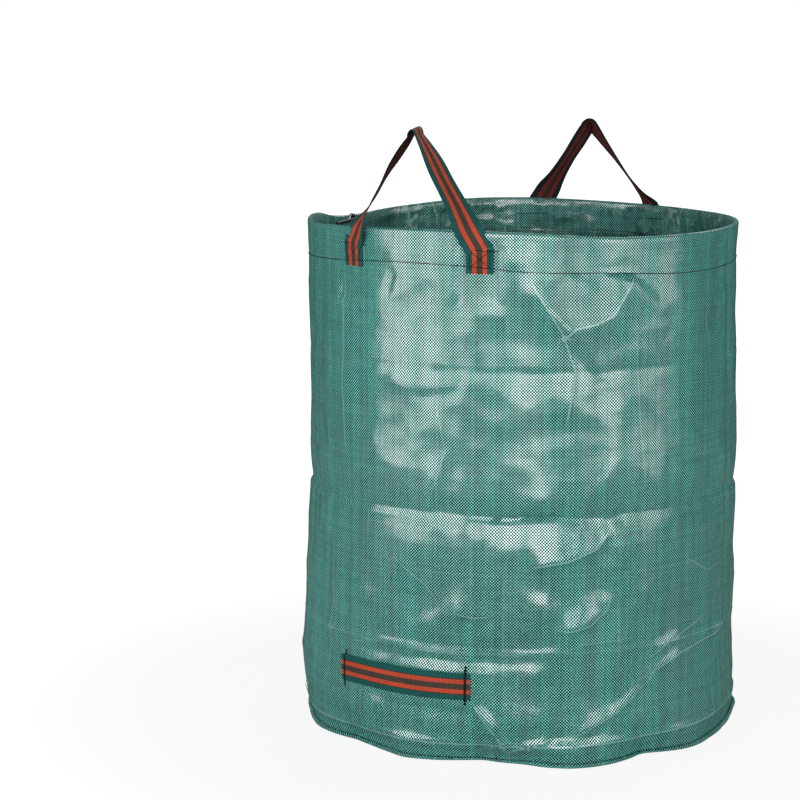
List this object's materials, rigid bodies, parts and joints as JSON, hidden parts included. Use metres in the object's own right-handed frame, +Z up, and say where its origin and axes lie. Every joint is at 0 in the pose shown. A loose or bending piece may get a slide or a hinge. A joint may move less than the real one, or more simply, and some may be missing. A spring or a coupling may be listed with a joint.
{
  "type": "garden waste bag",
  "caption": "Round free-standing garden waste bag of woven cloth with a hoop in its hem, webbing carrying handles and a tipping handle low on the wall.",
  "frame": {"origin": "centre of the base panel's underside, on the floor", "axes": "+Z up along the bag's axis; the front handle's middle and the tipping handle are towards -Y"},
  "size_m": [0.6852, 0.6976, 0.9212],
  "materials": {
    "woven_cloth": "laminated woven tape cloth, glossy and creased",
    "seam_binding": "matt",
    "webbing": "woven, matt, striped along its length",
    "thread": "twisted, slightly glossy",
    "hoop_plastic": "smooth",
    "nickel": "polished nickel plate"
  },
  "bodies": {
    "bag": {"side_wall": "woven_cloth", "base_panel": "woven_cloth", "base_seam": "seam_binding", "base_seam_stitch": "thread", "side_seam": "woven_cloth", "side_seam_stitch": "thread", "tipping_handle": "webbing", "tipping_tack_left": "thread", "tipping_tack_right": "thread"},
    "rim": {"rim_hem": "woven_cloth", "rim_hoop": "hoop_plastic", "rim_eyelet": "nickel", "eyelet_washer": "nickel", "hem_stitch": "thread", "front_handle_end_left": "webbing", "front_handle_end_right": "webbing", "front_box_stitch_left": "thread", "front_box_stitch_right": "thread", "back_handle_end_left": "webbing", "back_handle_end_right": "webbing", "back_box_stitch_left": "thread", "back_box_stitch_right": "thread"},
    "front_handle": {"front_handle_loop": "webbing"},
    "back_handle": {"back_handle_loop": "webbing"}
  },
  "joints": [
    {"name": "rim_collapse", "type": "slide", "parent": "bag", "child": "rim", "axis": [0, 0, 1], "range_m": [-0.57, 0], "deforming": ["side_wall", "side_seam", "side_seam_stitch"]},
    {"name": "front_handle_fold", "type": "hinge", "parent": "rim", "child": "front_handle", "pos_m": [0, -0.32885, 0.7713], "axis": [1, 0, 0], "range_deg": [-90, 150]},
    {"name": "back_handle_fold", "type": "hinge", "parent": "rim", "child": "back_handle", "pos_m": [-0.04012, 0.32677, 0.7713], "axis": [-0.9925, -0.1219, 0], "range_deg": [-90, 150]}
  ]
}
